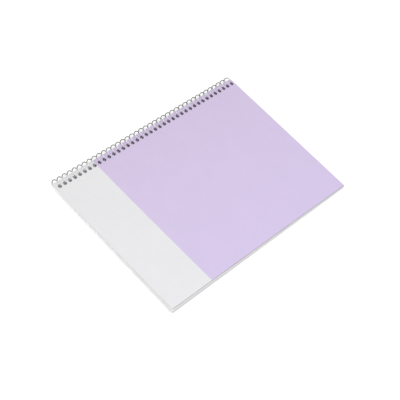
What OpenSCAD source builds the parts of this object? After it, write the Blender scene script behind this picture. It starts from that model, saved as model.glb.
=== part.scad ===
// Wire-bound notebook lying flat. X runs along the spine, +Y points to the spine,
// +Z is up. The origin is on the table, under the middle of the whole notebook.
// The book leans on its wire coil, so the stack slopes a little down to the fore-edge.
// All the sheets are punched alike. They hang on a helix, so the lower a sheet lies in
// the stack, the further it stands to the right.

/* [Covers] */
// Length of each cover along the spine
cover_w = 250.5; // [150:0.5:320]
// Depth of each cover from the spine to the fore-edge
cover_h = 178; // [100:0.5:300]
// Thickness of the front cover card
front_t = 0.5; // [0.3:0.1:1.5]
// Thickness of the back cover card
back_t = 0.5; // [0.3:0.1:1.5]
// Width of the bare pale band at the left end of the front cover
band_w = 52; // [20:1:100]
// Thickness of the printed lilac field
print_t = 0.05; // [0.03:0.01:0.2]

/* [Pages] */
// Thickness of the pressed stack of pages
pages_t = 3.6; // [2:0.1:5]
// How far the pages stop short of the covers at the two ends
end_set_back = 0.4; // [0.2:0.1:3]
// How far the pages stop short of the covers at the fore-edge
fore_set_back = 0.6; // [0.2:0.1:3]
// How far the pages stop short of the covers at the spine
spine_set_back = 1.2; // [1:0.1:2]
// Clearance between the front cover and the pages
cover_gap = 0.2; // [0.1:0.05:0.5]
// Clearance between the pages and the back cover
back_gap = 0.1; // [0.05:0.05:0.5]

/* [Thumbed corner] */
// How far the thumbed corner of the loose pages and the cover has risen
corner_lift = 5.8; // [0.5:0.1:10]
// How fast the rise fades from the left end to the right end
lift_fade_x = 0.7; // [0.7:0.05:3]
// How fast the rise grows from the spine strip to the fore-edge
lift_grow_y = 1.4; // [1:0.1:3]
// Depth of the strip at the spine that the coil keeps flat
flat_strip = 13; // [11:1:25]
// Steps along the spine in the risen surface
steps_x = 12; // [4:1:20]
// Steps from the strip to the fore-edge in the risen surface
steps_y = 8; // [4:1:16]

/* [Punched holes] */
// Distance from one hole to the next, and the pitch of the coil
pitch = 6.35; // [5:0.05:8.5]
// Radius of each hole
hole_r = 2.2; // [1.9:0.05:2.4]
// Distance from the covers' spine edge to the hole centres
hole_in = 5.9; // [4.5:0.1:8]
// Distance from the front cover's left end to its first hole
first_hole = 5.2; // [4.5:0.1:9]
// Least distance from the last hole to the front cover's right end
last_margin = 3.5; // [3.3:0.1:10]

/* [Wire coil] */
// Radius of the wire
wire_r = 0.4; // [0.3:0.05:0.6]
// Radius of the coil to the middle of its wire
coil_r = 5; // [4.5:0.1:7]
// How far inside the hole centres the pages' side of the coil stands
wire_seat = 0.1; // [0:0.05:0.3]
// Height of the coil's axis above the middle of the stack
coil_rise = 0.8; // [0.4:0.1:1.2]
// Space between the wire and the end wall of the front cover's holes
front_space = 0.3; // [0.2:0.05:0.6]
// How far to the right of the pages' hole centres the middle of their wire stands
page_slide = 1.1; // [0.9:0.05:1.3]
// How far to the left of the back cover's hole centres the wire stands
back_slide = 0.05; // [0:0.05:0.8]
// Angle round the coil, from the pages' side over the top, at which the wire turns in
left_end_angle = 225; // [200:1:235]
// Angle round the coil at which the wire starts, under the last hole
right_end_angle = -115; // [-125:1:-70]
// Length of the wire's turned-in end
tail_l = 1.4; // [1.2:0.1:2]
// Bend radius of the wire's turned-in end
tail_bend_r = 1; // [0.8:0.1:1.2]
// Sections of the wire in one turn
turn_steps = 16; // [12:1:20]
// Sides of the wire
wire_sides = 6; // [6:2:8]

/* [Hidden] */
$fn = 48;

// Heights in the book's own frame, whose z = 0 is the back cover's underside
pages_z = back_t + back_gap;
pages_top = pages_z + pages_t;
front_z = pages_top + cover_gap;
stack_t = front_z + front_t;

// Places along y in the book's own frame, whose y = 0 is the covers' spine edge
fore_y = -cover_h;
hole_y = -hole_in;
coil_y = hole_y - wire_seat + coil_r;
coil_z = stack_t / 2 + coil_rise;
left_x = -cover_w / 2;
band_x = left_x + band_w;

// As many holes as the sheet has room for
hole_count = floor((cover_w - first_hole - last_margin) / pitch) + 1;

// The table touches the back cover's fore-edge and the underside of the coil
coil_out_r = coil_r + wire_r;
reach = norm([coil_y - fore_y, coil_z]);
lean = asin(coil_out_r / reach) - atan2(coil_z, coil_y - fore_y);
depth = cover_h + coil_y + coil_out_r;

// Angles round the coil's axis, from the pages' side up over the top, at which
// the wire crosses the middle of the front cover and of the back cover
front_angle = asin((front_z + front_t / 2 - coil_z) / coil_r);
back_angle = asin((back_t / 2 - coil_z) / coil_r);

page_angle = asin(((pages_z + pages_top) / 2 - coil_z) / coil_r);

// The wire's place along the spine at its crossing of the first hole in each sheet
first_x = left_x + first_hole;
first_wire_x = first_x + hole_r - wire_r - front_space;
function wire_x(a) = first_wire_x - pitch * (a - front_angle) / 360;

// How far to the right of the front cover the pages and the back cover stand
page_shift = wire_x(page_angle) - page_slide - first_x;
back_shift = wire_x(back_angle) + back_slide - first_x;

// The wire runs from under the last hole, with one turn for each hole
wire_from = right_end_angle - 360 * (hole_count - 1);
wire_to = left_end_angle;
tail_arc_steps = 4;
wire_n = round((wire_to - wire_from) * turn_steps / 360);

// Steps of the front cover's surface over the pale band
band_steps = max(2, round(steps_x * band_w / cover_w));

// Share of the corner's lift at a place on the cover, from 0 to 1
function along(x) = max(0, (cover_w / 2 - x) / cover_w);
function across(y) = max(0, (-y - flat_strip) / (cover_h - flat_strip));
function lift(x, y) = corner_lift * pow(along(x), lift_fade_x) * pow(across(y), lift_grow_y);

// Values spaced evenly from a to b in n steps
function spaced(a, b, n) = [for (i = [0:n]) a + (b - a) * i / n];

// The rows of the risen surface: one flat strip at the spine, then even steps
function rows(y_end, y_spine) = concat(spaced(y_end, -flat_strip, steps_y), [y_spine]);

// Moves what is modelled in the book's own frame on to the table
module on_table() {
    translate([-back_shift / 2, -depth / 2, 0]) rotate([lean, 0, 0])
        translate([0, cover_h, 0])
        children();
}

// A closed solid over a grid of xs and ys, from z0 plus low times the lift
// up to z1 plus the lift
module risen_slab(xs, ys, z0, z1, low) {
    nx = len(xs);
    ny = len(ys);
    n = nx * ny;
    bottom = [for (y = ys, x = xs) [x, y, z0 + low * lift(x, y)]];
    top = [for (y = ys, x = xs) [x, y, z1 + lift(x, y)]];
    cells = [for (j = [0:ny - 2], i = [0:nx - 2]) j * nx + i];
    ends_x = [for (i = [0:nx - 2]) i];
    ends_y = [for (j = [0:ny - 2]) j * nx];
    last_row = (ny - 1) * nx;
    polyhedron(
        points = concat(bottom, top),
        faces = concat(
            [for (c = cells) [c, c + 1, c + nx + 1]],
            [for (c = cells) [c, c + nx + 1, c + nx]],
            [for (c = cells) [n + c, n + c + nx + 1, n + c + 1]],
            [for (c = cells) [n + c, n + c + nx, n + c + nx + 1]],
            [for (i = ends_x) [i, i + n, i + n + 1, i + 1]],
            [for (i = ends_x) [last_row + i, last_row + i + 1, last_row + n + i + 1,
                last_row + n + i]],
            [for (c = ends_y) [c, c + nx, c + n + nx, c + n]],
            [for (c = ends_y) [c + nx - 1, c + n + nx - 1, c + n + 2 * nx - 1,
                c + 2 * nx - 1]]
        )
    );
}

// The row of round holes, through everything from z0 to z1
module hole_row(x0, count, z0, z1) {
    for (i = [0:count - 1])
        translate([x0 + i * pitch, hole_y, z0]) cylinder(r = hole_r, h = z1 - z0);
}

// Front cover: one sheet of pale card that follows the pages up at the corner
module front_cover() {
    xs = concat(
        spaced(left_x, band_x, band_steps),
        [for (x = spaced(band_x, cover_w / 2, steps_x - band_steps)) if (x > band_x) x]
    );
    color([0.91, 0.91, 0.92]) on_table() difference() {
        risen_slab(xs, rows(fore_y, 0), front_z, stack_t, 1);
        hole_row(first_x, hole_count, front_z - 1, stack_t + 1);
    }
}

// Lilac print over the rest of the front cover
module lilac_field() {
    xs = spaced(band_x, cover_w / 2, steps_x - band_steps);
    color([0.85, 0.80, 0.91]) on_table() difference() {
        risen_slab(xs, rows(fore_y, 0), stack_t, stack_t + print_t, 1);
        hole_row(first_x, hole_count, stack_t - 1, stack_t + 1);
    }
}

// All the pages as one block, fanned open at the thumbed corner
module page_block() {
    x1 = cover_w / 2 - end_set_back;
    color([0.97, 0.97, 0.96]) on_table() difference() {
        risen_slab(spaced(page_shift - x1, page_shift + x1, steps_x),
            rows(fore_y + fore_set_back, -spine_set_back), pages_z, pages_top, 0);
        hole_row(first_x + page_shift, hole_count, pages_z - 1, pages_top + 1);
    }
}

// Back cover: one flat sheet of the same card
module back_cover() {
    color([0.90, 0.90, 0.91]) on_table() difference() {
        translate([left_x + back_shift, fore_y, 0]) cube([cover_w, cover_h, back_t]);
        hole_row(first_x + back_shift, hole_count, -1, back_t + 1);
    }
}

// A point on the middle of the wire, and its direction, at the angle a
function coil_point(a) =
    [wire_x(a), coil_y - coil_r * cos(a), coil_z + coil_r * sin(a)];
function coil_way(a) =
    let (d = [-pitch / 360, coil_r * sin(a) * PI / 180, coil_r * cos(a) * PI / 180])
    d / norm(d);

// The turned-in end: a quarter bend from the coil's way round to +X, then straight
tail_from = coil_point(wire_to);
tail_way = coil_way(wire_to);
tail_side = [1, 0, 0] - tail_way * tail_way[0];
tail_in = tail_side / norm(tail_side);
function tail_point(b) = tail_from + tail_bend_r * (tail_way * sin(b) + tail_in * (1 - cos(b)));
function tail_dir(b) = tail_way * cos(b) + tail_in * sin(b);

// Wire sections as pairs of a place and a direction
wire_path = concat(
    [for (i = [0:wire_n]) let (a = wire_from + (wire_to - wire_from) * i / wire_n)
        [coil_point(a), coil_way(a)]],
    [for (i = [1:tail_arc_steps]) let (b = 90 * i / tail_arc_steps)
        [tail_point(b), tail_dir(b)]],
    [[tail_point(90) + tail_in * (tail_l - tail_bend_r), tail_in]]
);

// Two unit vectors across the direction d and across each other. The wire nowhere
// runs along aside, so both always exist.
aside = [1, 0.35, 0.2];
function across_1(d) = let (v = cross(d, aside)) v / norm(v);
function across_2(d) = cross(d, across_1(d));

// Wire coil: one steel wire in a helix with one turn for each hole
module binding_coil() {
    n = wire_sides;
    m = len(wire_path);
    points = [for (p = wire_path, k = [0:n - 1]) let (b = 360 * k / n)
        p[0] + wire_r * (across_1(p[1]) * cos(b) + across_2(p[1]) * sin(b))];
    color([0.75, 0.75, 0.77]) on_table() polyhedron(
        points = points,
        faces = concat(
            [[for (k = [0:n - 1]) k]],
            [for (j = [0:m - 2], k = [0:n - 1])
                [j * n + k, (j + 1) * n + k, (j + 1) * n + (k + 1) % n]],
            [for (j = [0:m - 2], k = [0:n - 1])
                [j * n + k, (j + 1) * n + (k + 1) % n, j * n + (k + 1) % n]],
            [[for (k = [n - 1:-1:0]) (m - 1) * n + k]]
        )
    );
}

front_cover();
lilac_field();
page_block();
back_cover();
binding_coil();
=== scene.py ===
# %% [markdown]
# # A coil-bound notebook on a table
# The object is a landscape notebook: two card covers and a stack of loose pages, punched
# along one long side and hung on a single coil of steel wire. It comes in as plain
# solids. This script gives every solid a finer surface and a finish, and sets a camera
# and soft light round it. X runs along the spine, +Y points to the coil, +Z is up, and
# all lengths are in metres.

# %% Load the solids
import math

import bpy
import numpy as np
from mathutils import Matrix, Vector


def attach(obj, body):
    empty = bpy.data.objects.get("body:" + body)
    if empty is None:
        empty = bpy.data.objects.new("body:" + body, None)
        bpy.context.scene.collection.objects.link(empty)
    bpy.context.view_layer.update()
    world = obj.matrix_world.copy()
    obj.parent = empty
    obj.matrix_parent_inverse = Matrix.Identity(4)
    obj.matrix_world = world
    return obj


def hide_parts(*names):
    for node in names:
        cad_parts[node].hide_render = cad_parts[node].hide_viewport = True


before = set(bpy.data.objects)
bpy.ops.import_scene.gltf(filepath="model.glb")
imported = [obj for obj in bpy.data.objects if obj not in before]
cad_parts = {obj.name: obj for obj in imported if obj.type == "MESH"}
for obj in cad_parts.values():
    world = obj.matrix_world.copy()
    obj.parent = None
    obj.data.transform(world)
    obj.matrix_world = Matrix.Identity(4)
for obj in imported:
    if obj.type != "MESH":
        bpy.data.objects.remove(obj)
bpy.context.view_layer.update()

# %% [markdown]
# ## The stack
# A closed notebook is a pile: back cover, pages, front cover, with a little air between
# them. The surfaces could be traced over the solids, but it is simpler and exact to
# repeat the few sizes here and work out each surface from them. They are measured in the
# book's own frame: y = 0 is the covers' spine edge and z = 0 is the back cover's
# underside.

# %% Sizes of the stack
COVER_W = 0.2505
COVER_H = 0.178
CARD_T = 0.0005
PAGES_T = 0.0036
BACK_GAP = 0.0001
COVER_GAP = 0.0002

PAGES_Z = CARD_T + BACK_GAP
PAGES_TOP = PAGES_Z + PAGES_T
FRONT_Z = PAGES_TOP + COVER_GAP
STACK_T = FRONT_Z + CARD_T
LEFT_X = -COVER_W / 2
RIGHT_X = COVER_W / 2
print(f"closed stack: {STACK_T * 1000:.1f} mm thick")

# %% [markdown]
# ## The coil's path
# The wire is a helix, so where it crosses a sheet depends on that sheet's height. Each
# sheet hangs where its holes meet the wire, and a lower sheet stands further to the
# right. Working this out from the helix, rather than lining the sheets up by eye, keeps
# the wire inside every hole.

# %% Where the wire crosses each sheet
PITCH = 0.00635
HOLE_R = 0.0022
HOLE_IN = 0.0059
FIRST_HOLE = 0.0052
HOLE_COUNT = 39
WIRE_R = 0.0004
COIL_R = 0.005
WIRE_SEAT = 0.0001
COIL_RISE = 0.0008
FRONT_SPACE = 0.0003
PAGE_SLIDE = 0.0011
BACK_SLIDE = 0.00005

COIL_Y = -HOLE_IN - WIRE_SEAT + COIL_R
COIL_Z = STACK_T / 2 + COIL_RISE
FIRST_X = LEFT_X + FIRST_HOLE
FIRST_WIRE_X = FIRST_X + HOLE_R - WIRE_R - FRONT_SPACE


def crossing(z):
    """The angle round the coil at which the wire passes the height z: the arc sine of
    the height above the axis over the coil's radius."""
    return math.asin((z - COIL_Z) / COIL_R)


FRONT_ANGLE = crossing(FRONT_Z + CARD_T / 2)


def wire_x(a):
    """The wire's place along the spine: x falls by one pitch for each turn of a."""
    return FIRST_WIRE_X - PITCH * (a - FRONT_ANGLE) / (2 * math.pi)


PAGE_SHIFT = wire_x(crossing((PAGES_Z + PAGES_TOP) / 2)) - PAGE_SLIDE - FIRST_X
BACK_SHIFT = wire_x(crossing(CARD_T / 2)) + BACK_SLIDE - FIRST_X
print(f"pages stand {PAGE_SHIFT * 1000:.2f} mm and back {BACK_SHIFT * 1000:.2f} mm to the right")

# %% [markdown]
# ## Lying on the table
# The coil is thicker than the stack, so the book rests on its fore-edge and on the coil,
# and leans by less than a degree. Turning an object would slide the finishes, which are
# measured on the object's own axes, so the lean goes into the points themselves.

# %% The lean
COIL_OUT_R = COIL_R + WIRE_R
COIL_FROM_FORE = COIL_Y + COVER_H
DEPTH = COIL_FROM_FORE + COIL_OUT_R
LEAN = math.asin(COIL_OUT_R / math.hypot(COIL_FROM_FORE, COIL_Z))
LEAN -= math.atan2(COIL_Z, COIL_FROM_FORE)


def on_table(points):
    """Turns points about the back cover's fore-edge by the lean, then centres them:
    y cos - z sin, y sin + z cos, with y counted from the fore-edge."""
    x, y, z = np.moveaxis(np.asarray(points, dtype=float), -1, 0)
    y = y + COVER_H
    c, s = math.cos(LEAN), math.sin(LEAN)
    return np.stack((x - BACK_SHIFT / 2, y * c - z * s - DEPTH / 2, y * s + z * c), axis=-1)


print(f"lean: {math.degrees(LEAN):.2f} degrees over a depth of {DEPTH * 1000:.1f} mm")

# %% [markdown]
# ## The thumbed corner
# One corner of the real notebook has been lifted often and stays up. A sculpted bump
# would do for one sheet, but the cover and every leaf must rise together, so one formula
# gives the rise at any place and each sheet takes its share of it.

# %% The rise of the corner
CORNER_LIFT = 0.0058
LIFT_FADE_X = 0.7
LIFT_GROW_Y = 1.4
FLAT_STRIP = 0.013


def lift(x, y):
    """The rise at x, y: the corner's lift times a power of the share of the way to the
    left end, times a power of the share of the way to the fore-edge."""
    along = np.clip((RIGHT_X - x) / COVER_W, 0, None)
    across = np.clip((-y - FLAT_STRIP) / (COVER_H - FLAT_STRIP), 0, None)
    return CORNER_LIFT * along**LIFT_FADE_X * across**LIFT_GROW_Y


print(f"rise half way along the fore-edge: {lift(0.0, -COVER_H) * 1000:.2f} mm")

# %% [markdown]
# ## Camera
# The photograph looks down on the notebook from the front left. The camera could be
# aimed by hand, but a fit of the covers' corners and holes gave its place, its two axes
# and its focal length in pixels. The shift is small and puts the picture's centre where
# the fit has it.

# %% Camera
CAMERA_AT = (-0.524184, -0.342442, 0.810492)
CAMERA_RIGHT = Vector((0.7049365, -0.680805, 0.1989198))
CAMERA_UP = Vector((0.4849643, 0.6673104, 0.565249))
FOCAL_PX = 993.3
FRAME_PX = 400
SENSOR_MM = 36
SHIFT_X = -0.065
SHIFT_Y = 0.0257
NEAREST = 0.05
FARTHEST = 20.0

cam_data = bpy.data.cameras.new("Camera")
cam_data.sensor_width = SENSOR_MM
cam_data.lens = FOCAL_PX / FRAME_PX * SENSOR_MM
cam_data.shift_x = SHIFT_X
cam_data.shift_y = SHIFT_Y
cam_data.clip_start = NEAREST
cam_data.clip_end = FARTHEST
cam = bpy.data.objects.new("Camera", cam_data)
cam_axes = Matrix((CAMERA_RIGHT, CAMERA_UP, CAMERA_RIGHT.cross(CAMERA_UP))).transposed()
cam.matrix_world = Matrix.Translation(CAMERA_AT) @ cam_axes.to_4x4()
bpy.context.scene.collection.objects.link(cam)
bpy.context.scene.camera = cam
print(f"camera: {cam_data.lens:.1f} mm lens, {Vector(CAMERA_AT).length:.2f} m away")

# %% [markdown]
# ## Light
# Product photographs are lit from all round, so shades stay faint. A white world gives
# that even light, and shows itself to the camera and in the wire as pure white. One wide
# lamp from the front left makes the cut edges and the coil read, and a weak one behind
# keeps the far side from going flat.

# %% World and lamps
# The strength that lights the notebook. Camera and glossy rays see a strength of 1.
SKY_LIGHT = 0.92
WHITE = (1.0, 1.0, 1.0, 1.0)

world = bpy.data.worlds.new("Studio")
world.use_nodes = True
sky = world.node_tree.nodes["Background"]
sky.inputs["Color"].default_value = WHITE
seen_sky = world.node_tree.nodes.new("ShaderNodeMath")
seen_sky.operation = "MULTIPLY_ADD"
seen_sky.inputs[1].default_value = 1.0 - SKY_LIGHT
seen_sky.inputs[2].default_value = SKY_LIGHT
sky_rays = world.node_tree.nodes.new("ShaderNodeLightPath")
either_ray = world.node_tree.nodes.new("ShaderNodeMath")
either_ray.operation = "MAXIMUM"
world.node_tree.links.new(sky_rays.outputs["Is Camera Ray"], either_ray.inputs[0])
world.node_tree.links.new(sky_rays.outputs["Is Glossy Ray"], either_ray.inputs[1])
world.node_tree.links.new(either_ray.outputs[0], seen_sky.inputs[0])
world.node_tree.links.new(seen_sky.outputs[0], sky.inputs["Strength"])
bpy.context.scene.world = world


def area_light(name, at, size, power):
    """A soft square lamp at a point, aimed at the notebook."""
    data = bpy.data.lights.new(name, "AREA")
    data.size = size
    data.energy = power
    lamp = bpy.data.objects.new(name, data)
    lamp.location = at
    lamp.rotation_euler = Vector(at).to_track_quat("Z", "Y").to_euler()
    bpy.context.scene.collection.objects.link(lamp)
    print(f"{name}: {power} W, {size} m wide")


area_light("Key", at=(-0.85, -0.65, 1.0), size=1.2, power=7.0)
area_light("Fill", at=(0.8, 0.9, 1.2), size=1.4, power=1.5)
bpy.context.scene.view_settings.view_transform = "Standard"

# %% [markdown]
# ## A short way to write materials
# Each finish is a small tree of nodes that read the piece's own coordinates, so a
# pattern stays on its piece when the piece turns. Placing nodes one by one takes many
# lines, and this helper makes and joins them in one call each.

# %% Node helper


class Nodes:
    """A material's node tree with short calls for making and joining nodes."""

    def __init__(self, name, roughness):
        self.material = bpy.data.materials.new(name)
        self.material.use_nodes = True
        self.tree = self.material.node_tree
        self.shader = self.tree.nodes["Principled BSDF"]
        self.shader.inputs["Roughness"].default_value = roughness
        self.places = self.add("ShaderNodeTexCoord")

    def add(self, kind, **settings):
        """A new node of this kind, with its settings."""
        node = self.tree.nodes.new(kind)
        for key, value in settings.items():
            setattr(node, key, value)
        return node

    def feed(self, value, socket):
        """Sets a number or a colour on a socket, or links another node's socket to it."""
        if isinstance(value, bpy.types.NodeSocket):
            self.tree.links.new(value, socket)
        elif isinstance(value, tuple):
            socket.default_value = (*value, 1.0)
        else:
            socket.default_value = value

    def colour(self, value):
        """The shader's colour, as a value or a socket."""
        self.feed(value, self.shader.inputs["Base Color"])

    def math(self, operation, *values):
        """One sum on numbers or sockets."""
        node = self.add("ShaderNodeMath", operation=operation)
        for socket, value in zip(node.inputs, values):
            self.feed(value, socket)
        return node.outputs[0]

    def noise(self, scale, detail, stretch=(1, 1, 1)):
        """Noise over the object's own axes, stretched along them."""
        mapping = self.add("ShaderNodeMapping")
        mapping.inputs["Scale"].default_value = stretch
        self.feed(self.places.outputs["Object"], mapping.inputs["Vector"])
        node = self.add("ShaderNodeTexNoise")
        node.inputs["Scale"].default_value = scale
        node.inputs["Detail"].default_value = detail
        self.feed(mapping.outputs[0], node.inputs["Vector"])
        return node.outputs["Fac"]

    def ramp(self, value, low, high):
        """A colour that runs from one stop to the next, each a place and a colour."""
        node = self.add("ShaderNodeValToRGB")
        for element, (at, colour) in zip(node.color_ramp.elements, (low, high)):
            element.position = at
            element.color = (*colour, 1.0)
        self.feed(value, node.inputs["Fac"])
        return node.outputs["Color"]

    def blend(self, factor, a, b, mode="MIX"):
        """From a to b, or a times b with the mode MULTIPLY."""
        node = self.add("ShaderNodeMix", data_type="RGBA", blend_type=mode)
        sockets = {s.identifier: s for s in node.inputs}
        self.feed(factor, sockets["Factor_Float"])
        self.feed(a, sockets["A_Color"])
        self.feed(b, sockets["B_Color"])
        return {s.identifier: s for s in node.outputs}["Result_Color"]

    def bump(self, height, strength, distance):
        """Relief in the shading only, as high as the distance where the height is 1."""
        node = self.add("ShaderNodeBump")
        self.feed(strength, node.inputs["Strength"])
        self.feed(distance, node.inputs["Distance"])
        self.feed(height, node.inputs["Height"])
        self.feed(node.outputs["Normal"], self.shader.inputs["Normal"])

    def axis(self, name, source="Object"):
        """One axis of the piece's own coordinates, or of its surface's normal."""
        node = self.add("ShaderNodeSeparateXYZ")
        self.feed(self.places.outputs[source], node.inputs[0])
        return node.outputs[name]

    def faces(self, name, least):
        """1 where the normal's share along an axis, either way, is over the least."""
        return self.math("GREATER_THAN", self.math("ABSOLUTE", self.axis(name, "Normal")), least)


def linear(r, g, b):
    """A screen colour from 0 to 255 as linear light: v / 12.92 in the darks, and
    ((v + 0.055) / 1.055) to the power 2.4 above them, with v from 0 to 1."""
    v = np.array((r, g, b)) / 255
    light = np.where(v <= 0.04045, v / 12.92, ((v + 0.055) / 1.055) ** 2.4)
    return tuple(light.tolist())


print("a screen grey of 220 is", round(linear(220, 220, 220)[0], 3), "in linear light")

# %% [markdown]
# ## Card and print
# The covers are matt coated card: almost even, with faint clouds and fine fibres. Their
# tone is painted a little lighter and bluer from the spine to the fore-edge, as painted
# light. A flat colour looks like plastic, so two noises of very different scale carry the
# clouds and the fibres. The cut edge is painted shade, standing for the shadow line under
# the cover's edge: dark at the fore-edge, on the back cover most of all at the lifted
# corner, and only somewhat darker than the face at the short ends, where the grey is
# partly the card's own cut.

# %% Card finish
PAPER_GLOSS = 0.25
# The least share of a normal along an axis for its face to count as facing that way
FACING = 0.6
CLOUD_SCALE = 55.0
FIBRE_SCALE = 900.0
FIBRE_STRETCH = (1.0, 0.35, 1.0)
FIBRE_DEPTH = 0.00003
# The short ends' grey is partly the card's own cut and partly painted shade
SHORT_END_SHADE = linear(176, 175, 178)


def card(name, spine_colour, fore_colour, corner_shade, far_shade):
    """Card whose colour runs from the spine to the fore-edge, lighter at the fore-edge as
    painted light, times a faint fibre tone. Its cut edge is painted shade, running along x
    from the tone at the lifted corner to that of the rest."""
    m = Nodes(name, roughness=0.6)
    # Painted light: the colour turns lighter and bluer towards the fore-edge, standing for the fall
    # of light across the card
    share = m.math("MULTIPLY_ADD", m.axis("Y"), -1 / DEPTH, 0.5)
    base = m.blend(share, spine_colour, fore_colour)
    clouds = m.noise(CLOUD_SCALE, detail=5.0)
    fibres = m.noise(FIBRE_SCALE, detail=6.0, stretch=FIBRE_STRETCH)
    tone = m.math("MULTIPLY", m.math("ADD", clouds, fibres), 0.5)
    shade = m.ramp(tone, (0.35, (0.965,) * 3), (0.65, (1.0,) * 3))
    face = m.blend(1.0, base, shade, "MULTIPLY")
    # Painted shade: the cut edges are painted darker than the face, somewhat at the short ends and
    # darkest along y, as the shadow lines at the card's edges
    ends = m.blend(m.faces("X", FACING), face, SHORT_END_SHADE)
    along = m.math("MULTIPLY_ADD", m.axis("X"), 1 / COVER_W, 0.5)
    cut = m.ramp(along, (0.15, corner_shade), (0.4, far_shade))
    m.colour(m.blend(m.faces("Y", FACING), ends, cut))
    m.shader.inputs["Specular IOR Level"].default_value = PAPER_GLOSS
    m.bump(fibres, strength=0.12, distance=FIBRE_DEPTH)
    return m.material


# Painted shade for the cut edges: near black, and grey on the back cover away from the lifted
# corner
CUT_SHADE_DARK = linear(24, 22, 28)
CUT_SHADE_GREY = linear(90, 88, 92)
PALE = card("pale_card", linear(219, 219, 220), linear(222, 222, 225), CUT_SHADE_DARK, CUT_SHADE_DARK)
LILAC = card("lilac_print", linear(202, 188, 216), linear(205, 191, 223), CUT_SHADE_DARK, CUT_SHADE_DARK)
BACK = card("back_card", linear(218, 218, 220), linear(221, 221, 224), CUT_SHADE_DARK, CUT_SHADE_GREY)
print("card finishes:", PALE.name, LILAC.name, BACK.name)

# %% [markdown]
# ## Paper
# The pages are white uncoated paper. Seen from above a leaf is plain with faint fibres,
# while the trimmed sides of the stack show thin lines where leaf meets leaf, partly the
# cut's own texture and partly painted shade in the gaps between leaves. A noise that
# changes fast with height and slowly along the side draws such lines, with no need of a
# surface for every leaf. The fore-edges of the top leaves are painted shade, standing for
# the shadow line under the cover's edge: as dark as the cover's cut at the fore-edge, and
# only grey at the left, where they fan open. Inside the holes the cut walls are painted
# shade, a little darker than the page, and carry a painted lilac bounce light where the
# lilac print lies over them.

# %% Paper finishes
# Where the print begins, from the cover's left end
BAND_W = 0.052
BAND_X = LEFT_X + BAND_W
PAGE_FIBRE_SCALE = 500.0
LINE_SCALE = 60.0
LINE_STRETCH = (1.0, 1.0, 90.0)
LINE_DEPTH = 0.00005


def page_paper():
    """White paper, with thin lines on its trimmed sides only."""
    m = Nodes("page_paper", roughness=0.8)
    fibres = m.noise(PAGE_FIBRE_SCALE, detail=5.0)
    lines = m.noise(LINE_SCALE, detail=3.0, stretch=LINE_STRETCH)
    face = m.ramp(fibres, (0.3, linear(233, 233, 232)), (0.7, linear(237, 237, 236)))
    # Partly painted shade: the darker lines stand for the shade in the gaps where leaf meets leaf,
    # the rest is the cut's own texture
    side = m.ramp(lines, (0.3, linear(228, 228, 229)), (0.5, linear(248, 248, 248)))
    m.colour(m.blend(m.faces("Z", FACING), side, face))
    m.shader.inputs["Specular IOR Level"].default_value = PAPER_GLOSS
    m.bump(fibres, strength=0.15, distance=FIBRE_DEPTH)
    return m.material


def edge_shade_paper():
    """Paper painted as shade, light grey at the left and darkening towards the right end, along x.
    """
    m = Nodes("painted_shade_edge", roughness=0.9)
    share = m.math("MULTIPLY_ADD", m.axis("X"), 1 / COVER_W, 0.5)
    # Painted shade: light grey near the left end, near black further right
    m.colour(m.ramp(share, (0.08, linear(165, 162, 170)), (0.3, linear(24, 21, 28))))
    lines = m.noise(LINE_SCALE, detail=3.0, stretch=LINE_STRETCH)
    m.bump(lines, strength=0.3, distance=LINE_DEPTH)
    return m.material


def hole_shade_paper():
    """The cut walls inside the holes, painted darker than the page as painted shade, and painted
    lilac where the print lies over them as painted bounce light.
    """
    m = Nodes("hole_walls_painted_shade", roughness=0.9)
    lines = m.noise(LINE_SCALE, detail=3.0, stretch=LINE_STRETCH)
    # Painted shade: the bare walls are a little darker than the page's sides
    bare = m.ramp(lines, (0.3, linear(200, 198, 204)), (0.6, linear(235, 233, 239)))
    # Painted light: a lilac tint under the print, for light bounced from it
    lilac_bounce = m.math("GREATER_THAN", m.axis("X"), float(on_table((BAND_X, 0.0, 0.0))[0]))
    m.colour(m.blend(lilac_bounce, bare, linear(184, 160, 206)))
    m.bump(lines, strength=0.3, distance=LINE_DEPTH)
    return m.material


PAPER = page_paper()
EDGE_SHADE_PAPER = edge_shade_paper()
HOLE_WALL_SHADE = hole_shade_paper()
print("paper finishes:", PAPER.name, EDGE_SHADE_PAPER.name, HOLE_WALL_SHADE.name)

# %% [markdown]
# ## Steel wire
# The wire is drawn steel. Outside the spine it is painted nearly black, a painted dark
# reflection that makes it read against the white room, and over the card it is painted
# bright on top as a painted highlight and grey on its flanks as painted shade. A share
# that runs over 2.5 mm of y, from just outside the spine edge inwards, leads from one to
# the other, and a very fine noise gives the marks of the drawing die.

# %% Wire finish
LIGHT_FADE_WIDTH = 0.0025
# The painted highlight begins this share of its width outside the spine edge
LIGHT_FADE_OUTSIDE = 0.3
# The least share of x in the normal that makes a flank, which is painted as shade
SHADED_FLANK = 0.78
MARK_SCALE = 1400.0
MARK_DEPTH = 0.00002


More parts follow.
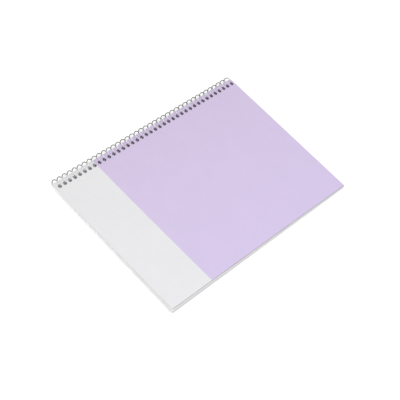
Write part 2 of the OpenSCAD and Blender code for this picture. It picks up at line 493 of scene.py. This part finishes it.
def drawn_wire():
    """Metal whose colour goes from a painted dark reflection to a painted highlight with the
    distance inside the spine, with shaded flanks painted over the card.
    """
    m = Nodes("steel_wire", roughness=0.35)
    marks = m.noise(MARK_SCALE, detail=3.0)
    # Painted light: a dark reflection outside the spine, a highlight on top and shade on the flanks
    # over the card
    dark_reflection = m.ramp(marks, (0.3, (0.015, 0.015, 0.016)), (0.7, (0.035, 0.035, 0.037)))
    highlight_and_flank_shade = m.ramp(marks, (0.3, (0.72, 0.72, 0.73)), (0.7, (0.86, 0.86, 0.87)))
    highlight_and_flank_shade = m.blend(m.faces("X", SHADED_FLANK), highlight_and_flank_shade, (0.2, 0.2, 0.21))
    spine_y = float(on_table((0.0, 0.0, COIL_Z))[1])
    offset = spine_y / LIGHT_FADE_WIDTH + LIGHT_FADE_OUTSIDE
    inside = m.math("MULTIPLY_ADD", m.axis("Y"), -1 / LIGHT_FADE_WIDTH, offset)
    share = m.math("MINIMUM", m.math("MAXIMUM", inside, 0.0), 1.0)
    m.colour(m.blend(share, dark_reflection, highlight_and_flank_shade))
    m.shader.inputs["Metallic"].default_value = 0.85
    m.bump(marks, strength=0.1, distance=MARK_DEPTH)
    return m.material


WIRE = drawn_wire()
print("wire finish:", WIRE.name)

# %% [markdown]
# ## A sheet with a row of holes
# Cutting 39 holes with a Boolean leaves long thin faces that shade badly. Here the sheet
# is laid out flat from patches of quads instead: a ring round each hole, even grids for
# the rest, and equal points welded. Two copies of the layout, a wall along each free
# edge, and the sheet is a closed solid whose quads can follow the corner's rise.

# %% Patches of quads
STRIP_END = -2 * HOLE_IN
# Steps over a cell's width and over half its height
CELL_STEPS = 4
HALF_STEPS = 4
# A walk round the border of a cell of two by two, from the middle of its right side
STOPS = np.array([(1, 0), (1, 1), (-1, 1), (-1, -1), (1, -1), (1, 0)])
STEPS = (HALF_STEPS, CELL_STEPS, 2 * HALF_STEPS, CELL_STEPS, HALF_STEPS)
WALK = np.concatenate(
    [np.linspace(a, b, n, endpoint=False) for a, b, n in zip(STOPS, STOPS[1:], STEPS)]
)
RING = len(WALK)
# Points are welded on a raster of this many steps to the metre
WELD_STEPS = 1e7


def grid_patch(xs, ys):
    """Points at every x and y, and a quad between each pair of neighbours."""
    points = np.stack(np.meshgrid(xs, ys), axis=-1).reshape(-1, 2)
    at = np.arange(len(points)).reshape(len(ys), len(xs))
    quads = np.stack((at[:-1, :-1], at[:-1, 1:], at[1:, 1:], at[1:, :-1]), axis=-1)
    return points, quads.reshape(-1, 4)


def ring_patch(holes, y_spine):
    """A ring of quads round each hole, from the circle r cos t, r sin t out to the
    border of the hole's cell."""
    t = 2 * np.pi * np.arange(RING) / RING
    circle = HOLE_R * np.stack((np.cos(t), np.sin(t)), axis=-1)
    tall = np.where(WALK[:, 1] > 0, y_spine + HOLE_IN, -HOLE_IN - STRIP_END)
    border = np.stack((WALK[:, 0] * PITCH / 2, WALK[:, 1] * tall), axis=-1)
    centres = np.stack((holes, np.full(len(holes), -HOLE_IN)), axis=-1)
    points = centres[:, None, None] + np.stack((circle, border))
    this, after = np.arange(RING), np.roll(np.arange(RING), -1)
    ring = np.stack((this, this + RING, after + RING, after), axis=-1)
    quads = ring + 2 * RING * np.arange(len(holes))[:, None, None]
    return points.reshape(-1, 2), quads.reshape(-1, 4)


def weld(patches):
    """One layout of all patches, with points that agree to 0.1 micron made one."""
    starts = np.cumsum([0] + [len(points) for points, _ in patches])
    points = np.concatenate([points for points, _ in patches])
    quads = np.concatenate([quads + start for (_, quads), start in zip(patches, starts)])
    keys = np.round(points * WELD_STEPS).astype(np.int64)
    _, kept, place = np.unique(keys, axis=0, return_index=True, return_inverse=True)
    return points[kept], place.reshape(-1)[quads]


def closed(points, quads, low, high):
    """The layout at the height high, turned over at the height low, and a wall along
    every edge that only one quad uses."""
    n = len(points)
    start = quads.reshape(-1)
    end = np.roll(quads, -1, axis=1).reshape(-1)
    free = ~np.isin(start * n + end, end * n + start)
    walls = np.stack((start, end, end + n, start + n), axis=-1)[free]
    verts = np.concatenate((np.column_stack((points, low)), np.column_stack((points, high))))
    return verts, np.concatenate((quads + n, quads[:, ::-1], walls))


print("points round a hole:", RING)

# %% Objects from arrays
SHARP_FROM = math.radians(15)


def new_piece(name, verts, faces):
    """A smooth object at the origin, with its place on the table in its mesh."""
    mesh = bpy.data.meshes.new(name)
    mesh.from_pydata(on_table(verts).tolist(), [], faces)
    mesh.validate()
    mesh.polygons.foreach_set("use_smooth", np.ones(len(mesh.polygons), dtype=bool))
    piece = bpy.data.objects.new(name, mesh)
    bpy.context.scene.collection.objects.link(piece)
    print(f"{name}: {len(mesh.polygons)} faces")
    return piece


def punched_sheet(name, span, ys, first, count, rows, heights, rise):
    """A sheet over span in x and ys in y, with count holes from first on. Its two
    heights rise with the corner by the share rise. With no rows it is only the strip
    with the holes."""
    (x0, x1), (y_fore, y_spine) = span, ys
    holes = first + PITCH * np.arange(count)
    strip_left, strip_right = holes[0] - PITCH / 2, holes[-1] + PITCH / 2
    left = [x0, (x0 + strip_left) / 2]
    cells = strip_left + PITCH / CELL_STEPS * np.arange(CELL_STEPS * count + 1)
    below = np.linspace(STRIP_END, -HOLE_IN, HALF_STEPS + 1)
    above = np.linspace(-HOLE_IN, y_spine, HALF_STEPS + 1)
    sides = np.union1d(below, above[1:])
    patches = [
        ring_patch(holes, y_spine),
        grid_patch([*left, strip_left], sides),
        grid_patch([strip_right, x1], sides),
    ]
    if rows:
        columns = np.concatenate((left, cells, [x1]))
        patches.append(grid_patch(columns, np.linspace(y_fore, STRIP_END, rows + 1)))
    points, quads = weld(patches)
    up = rise * lift(points[:, 0], points[:, 1])
    verts, faces = closed(points, quads, heights[0] + up, heights[1] + up)
    piece = new_piece(name, verts, faces.tolist())
    piece.data.set_sharp_from_angle(angle=SHARP_FROM)
    return piece


def settle(piece, material, body, node):
    """Gives a piece its finish and its body, and hides the solid it stands in for."""
    piece.data.materials.append(material)
    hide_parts(node)
    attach(piece, body)


print(f"edges over {math.degrees(SHARP_FROM):.0f} degrees stay sharp")

# %% [markdown]
# ## Front cover and its print
# The cover is one card. Its print could be a colour on the card, but the solids have it
# as a thin skin with a clean left edge, so it is a sheet of its own here too, with quads
# that line up with the card's. Card is cut by a blade and its edges are never quite sharp,
# which a bevel of 0.07 mm shows wherever light grazes them.

# %% Front cover
COVER_YS = (-COVER_H, 0.0)
PRINT_T = 0.00005
BENT_ROWS = 34
CUT_ROUND = 0.00007
CUT_SEGMENTS = 2
CUT_FROM = math.radians(50)


def soften(piece):
    """A narrow round along the cut edges."""
    bevel = piece.modifiers.new("cut_edge", "BEVEL")
    bevel.width = CUT_ROUND
    bevel.segments = CUT_SEGMENTS
    bevel.limit_method = "ANGLE"
    bevel.angle_limit = CUT_FROM


cover = punched_sheet(
    "front_sheet", (LEFT_X, RIGHT_X), COVER_YS, FIRST_X, HOLE_COUNT, BENT_ROWS,
    (FRONT_Z, STACK_T), 1.0,
)
soften(cover)
settle(cover, PALE, "front", "front_cover")

# %% Lilac print
bare_holes = math.ceil((BAND_X - FIRST_X) / PITCH)
field = punched_sheet(
    "lilac_skin", (BAND_X, RIGHT_X), COVER_YS, FIRST_X + bare_holes * PITCH,
    HOLE_COUNT - bare_holes, BENT_ROWS, (STACK_T, STACK_T + PRINT_T), 1.0,
)
settle(field, LILAC, "front", "lilac_field")
print(f"{bare_holes} holes lie in the bare band")

# %% [markdown]
# ## Back cover
# The photograph hides it. It lies flat under the pages, so the same function makes it
# with few rows and no rise, moved to the right to where the wire holds it.

# %% Back cover
FLAT_ROWS = 4

rear = punched_sheet(
    "back_sheet", (LEFT_X + BACK_SHIFT, RIGHT_X + BACK_SHIFT), COVER_YS,
    FIRST_X + BACK_SHIFT, HOLE_COUNT, FLAT_ROWS, (0.0, CARD_T), 0.0,
)
soften(rear)
settle(rear, BACK, "back", "back_cover")

# %% [markdown]
# ## Pages
# Real pages are dozens of thin sheets. At the spine the coil keeps them pressed, so one
# punched block is enough there, with its hole walls in their own finish. Towards the
# thumbed corner they fan open, and that is where separate leaves show: each is a grid
# that takes its share of the rise, the lowest none and the top one all of it. The leaves
# are cut a little unevenly, as trimmed paper is after some use.

# %% Punched block at the spine
END_SET_BACK = 0.0004
FORE_SET_BACK = 0.0006
SPINE_SET_BACK = 0.0012
# A wall face's normal rises less than this, and a hole's walls lie within this many radii
WALL_RISE = 0.5
WALL_REACH = 1.1
PAGE_LEFT = LEFT_X + PAGE_SHIFT + END_SET_BACK
PAGE_RIGHT = RIGHT_X + PAGE_SHIFT - END_SET_BACK


def face_arrays(piece):
    """The centre and the normal of every face, as two arrays."""
    faces = piece.data.polygons
    out = []
    for key in ("center", "normal"):
        values = np.empty(3 * len(faces))
        faces.foreach_get(key, values)
        out.append(values.reshape(-1, 3))
    return out


strip = punched_sheet(
    "page_strip", (PAGE_LEFT, PAGE_RIGHT), (None, -SPINE_SET_BACK), FIRST_X + PAGE_SHIFT,
    HOLE_COUNT, 0, (PAGES_Z, PAGES_TOP), 0.0,
)
settle(strip, PAPER, "pages", "page_block")
strip.data.materials.append(HOLE_WALL_SHADE)
centres, normals = face_arrays(strip)
first_hole = on_table((FIRST_X + PAGE_SHIFT, -HOLE_IN, PAGES_Z))
hole = np.clip(np.round((centres[:, 0] - first_hole[0]) / PITCH), 0, HOLE_COUNT - 1)
away = np.hypot(centres[:, 0] - first_hole[0] - hole * PITCH, centres[:, 1] - first_hole[1])
in_hole = (np.abs(normals[:, 2]) < WALL_RISE) & (away < WALL_REACH * HOLE_R)
strip.data.polygons.foreach_set("material_index", in_hole.astype(np.int32))
print("wall faces inside the holes:", in_hole.sum())

# %% Loose leaves
LEAVES = 24
LEAF_STEP = PAGES_T / LEAVES
LEAF_FILL = 0.97
LEAF_T = LEAF_STEP * LEAF_FILL
UNEVEN = 0.00025
# The top leaves stand almost flush with the cover, and their fore-edges are painted shade
SHADED_TOP_LEAVES = 5
TOP_LEAF_SET_BACK = 0.0001
# A face whose normal has less y than this looks out of the fore-edge
FORE_FACING = -0.9
COLUMNS = 25
ROWS = 17
SEED = 11

rng = np.random.default_rng(SEED)
uneven = rng.uniform(0.0, UNEVEN, (LEAVES, 3))
order = np.arange(LEAVES)
shaded_top = order >= LEAVES - SHADED_TOP_LEAVES
left = PAGE_LEFT + uneven[:, 0]
right = PAGE_RIGHT - uneven[:, 1]
set_back = np.where(shaded_top, TOP_LEAF_SET_BACK + uneven[:, 2] / 2, FORE_SET_BACK + uneven[:, 2])
fore = set_back - COVER_H

# Two parameters from 0 to 1 run over every leaf, and each leaf stretches them to its own edges
unit, leaf_quads = grid_patch(np.linspace(0, 1, COLUMNS), np.linspace(0, 1, ROWS))
x = left[:, None] + (right - left)[:, None] * unit[:, 0]
y = fore[:, None] + (STRIP_END - fore)[:, None] * unit[:, 1]
top = PAGES_Z + LEAF_STEP * (order[:, None] + 1) + lift(x, y) * order[:, None] / (LEAVES - 1)
low_high = np.stack((top - LEAF_T, top), axis=1)
both = np.broadcast_to(np.stack((x, y), axis=-1)[:, None], (LEAVES, 2, len(unit), 2))
verts = np.concatenate((both, low_high[..., None]), axis=-1).reshape(-1, 3)

zeros = np.zeros(len(unit))
_, leaf_faces = closed(unit, leaf_quads, zeros, zeros)
faces = leaf_faces + 2 * len(unit) * order[:, None, None]
leaves = new_piece("page_leaves", verts, faces.reshape(-1, 4).tolist())
leaves.data.set_sharp_from_angle(angle=SHARP_FROM)
settle(leaves, PAPER, "pages", "page_block")
leaves.data.materials.append(EDGE_SHADE_PAPER)
_, normals = face_arrays(leaves)
# Painted shade: the fore-facing sides of the top leaves take the dark paper, for the shadow line
# under the cover's edge
grey = np.repeat(shaded_top, len(leaf_faces)) & (normals[:, 1] < FORE_FACING)
leaves.data.polygons.foreach_set("material_index", grey.astype(np.int32))
print(f"{LEAVES} leaves, the top one raised by {lift(left[-1], fore[-1]) * 1000:.1f} mm")

# %% [markdown]
# ## Wire coil
# A Screw modifier or a Bezier curve could draw a coil, but the wire must pass through
# every hole and end at the left in a small turned-in hook, so its path is worked out as
# an array of points: the helix first, then a quarter bend round to +X and a short
# straight end. A circle carried along the path makes the wire, and a smaller ring at each
# end rounds the cut.

# %% Path of the wire
RIGHT_END_ANGLE = math.radians(-115)
LEFT_END_ANGLE = math.radians(225)
WIRE_START = RIGHT_END_ANGLE - 2 * math.pi * (HOLE_COUNT - 1)
TURN_STEPS = 40
BEND_STEPS = 8
TAIL_L = 0.0014
TAIL_BEND_R = 0.001


def unit_vectors(vectors):
    """Each vector over its own length."""
    return vectors / np.linalg.norm(vectors, axis=-1, keepdims=True)


def helix(a):
    """x along the spine as the pitch gives it, y = -R cos a and z = R sin a round the
    coil's axis."""
    return np.stack((wire_x(a), COIL_Y - COIL_R * np.cos(a), COIL_Z + COIL_R * np.sin(a)), axis=-1)


turns = round((LEFT_END_ANGLE - WIRE_START) / (2 * math.pi) * TURN_STEPS)
coil_path = helix(np.linspace(WIRE_START, LEFT_END_ANGLE, turns + 1))
climb = -PITCH / (2 * math.pi)
tail_sine, tail_cosine = math.sin(LEFT_END_ANGLE), math.cos(LEFT_END_ANGLE)
tail_way = unit_vectors(np.array((climb, COIL_R * tail_sine, COIL_R * tail_cosine)))
tail_in = unit_vectors(np.array((1.0, 0.0, 0.0)) - tail_way * tail_way[0])
bend = np.linspace(0, math.pi / 2, BEND_STEPS + 1)[1:, None]
hook = coil_path[-1] + TAIL_BEND_R * (tail_way * np.sin(bend) + tail_in * (1 - np.cos(bend)))
tip = hook[-1:] + tail_in * (TAIL_L - TAIL_BEND_R)
wire_path = np.concatenate((coil_path, hook, tip))
wire_length = np.linalg.norm(np.diff(wire_path, axis=0), axis=1).sum()
print(f"wire: {wire_length:.2f} m in {HOLE_COUNT} turns")

# %% Wire
WIRE_SIDES = 12
# The solid wire has six flat sides, so a round one a hair under its gauge keeps the
# solids' box to 0.02 mm
WIRE_FULLNESS = 0.99
# Each cut end runs on by the first share of the radius and narrows to the second
NOSE_L = 0.3
NOSE_R = 0.7
# A direction that the wire nowhere runs along, so it always gives two others across it
ASIDE = np.array((1.0, 0.35, 0.2))


def round_wire(name, path, radius, sides):
    """A ring radius (u cos t + v sin t) at each point of the path, where u and v stand
    across the path's way and across each other."""
    ways = unit_vectors(np.gradient(path, axis=0))
    nose = NOSE_L * radius
    path = np.concatenate((path[:1] - nose * ways[:1], path, path[-1:] + nose * ways[-1:]))
    ways = np.concatenate((ways[:1], ways, ways[-1:]))
    radii = np.full(len(path), radius)
    radii[[0, -1]] *= NOSE_R
    u = unit_vectors(np.cross(ways, ASIDE))
    v = np.cross(ways, u)
    t = 2 * np.pi * np.arange(sides)[:, None] / sides
    rings = path[:, None] + radii[:, None, None] * (u[:, None] * np.cos(t) + v[:, None] * np.sin(t))
    at = np.arange(len(path) * sides).reshape(-1, sides)
    beside = np.roll(at, -1, axis=1)
    quads = np.stack((at[:-1], beside[:-1], beside[1:], at[1:]), axis=-1).reshape(-1, 4)
    caps = [at[0, ::-1].tolist(), at[-1].tolist()]
    return new_piece(name, rings.reshape(-1, 3), quads.tolist() + caps)


coil = round_wire("wire_coil", wire_path, WIRE_R * WIRE_FULLNESS, WIRE_SIDES)
settle(coil, WIRE, "pages", "binding_coil")

# %% [markdown]
# ## Floor
# A plain white floor. It has to stay white up to the notebook, as in the photograph, yet
# keep the notebook's shade. More lamp light would wash out the card, so the floor glows
# a little instead, for the camera's rays and for reflections only.

# %% Floor
FLOOR_HALF = 4.0
FLOOR_DROP = 0.00005
FLOOR_GLOW = 0.15

corners = FLOOR_HALF * np.array([(-1, -1, 0), (1, -1, 0), (1, 1, 0), (-1, 1, 0)])
floor_mesh = bpy.data.meshes.new("floor")
floor_mesh.from_pydata((corners - (0, 0, FLOOR_DROP)).tolist(), [], [(0, 1, 2, 3)])
floor = bpy.data.objects.new("floor", floor_mesh)
bpy.context.scene.collection.objects.link(floor)

white = Nodes("floor_white", roughness=0.9)
white.colour((0.95, 0.95, 0.95))
white.shader.inputs["Specular IOR Level"].default_value = 0.1
white.shader.inputs["Emission Color"].default_value = WHITE
rays = white.add("ShaderNodeLightPath").outputs
seen = white.math("MAXIMUM", rays["Is Camera Ray"], rays["Is Glossy Ray"])
white.feed(white.math("MULTIPLY", seen, FLOOR_GLOW), white.shader.inputs["Emission Strength"])
floor_mesh.materials.append(white.material)
print("floor:", 2 * FLOOR_HALF, "m wide")
